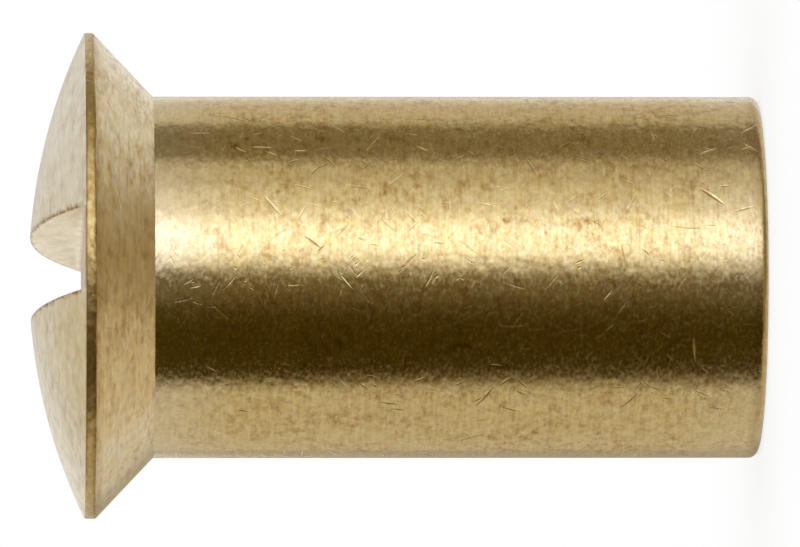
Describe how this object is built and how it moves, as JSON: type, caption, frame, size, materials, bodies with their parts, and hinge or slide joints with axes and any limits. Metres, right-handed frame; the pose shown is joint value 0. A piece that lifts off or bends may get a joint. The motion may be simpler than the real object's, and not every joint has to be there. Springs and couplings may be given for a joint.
{
  "type": "sleeve nut",
  "caption": "Slotted raised countersunk head on a plain round sleeve with a blind metric thread, for joining panels back to back with a screw.",
  "frame": {"origin": "centre of the open end face, where the thread starts", "axes": "+Z along the nut's axis from the open end to the crown of the head; +Y along the driver slot"},
  "size_m": [0.0108, 0.0108, 0.0161],
  "materials": {
    "brass": "turned, bright, lightly scratched"
  },
  "bodies": {
    "root": {"sleeve_nut": "brass"}
  },
  "joints": []
}
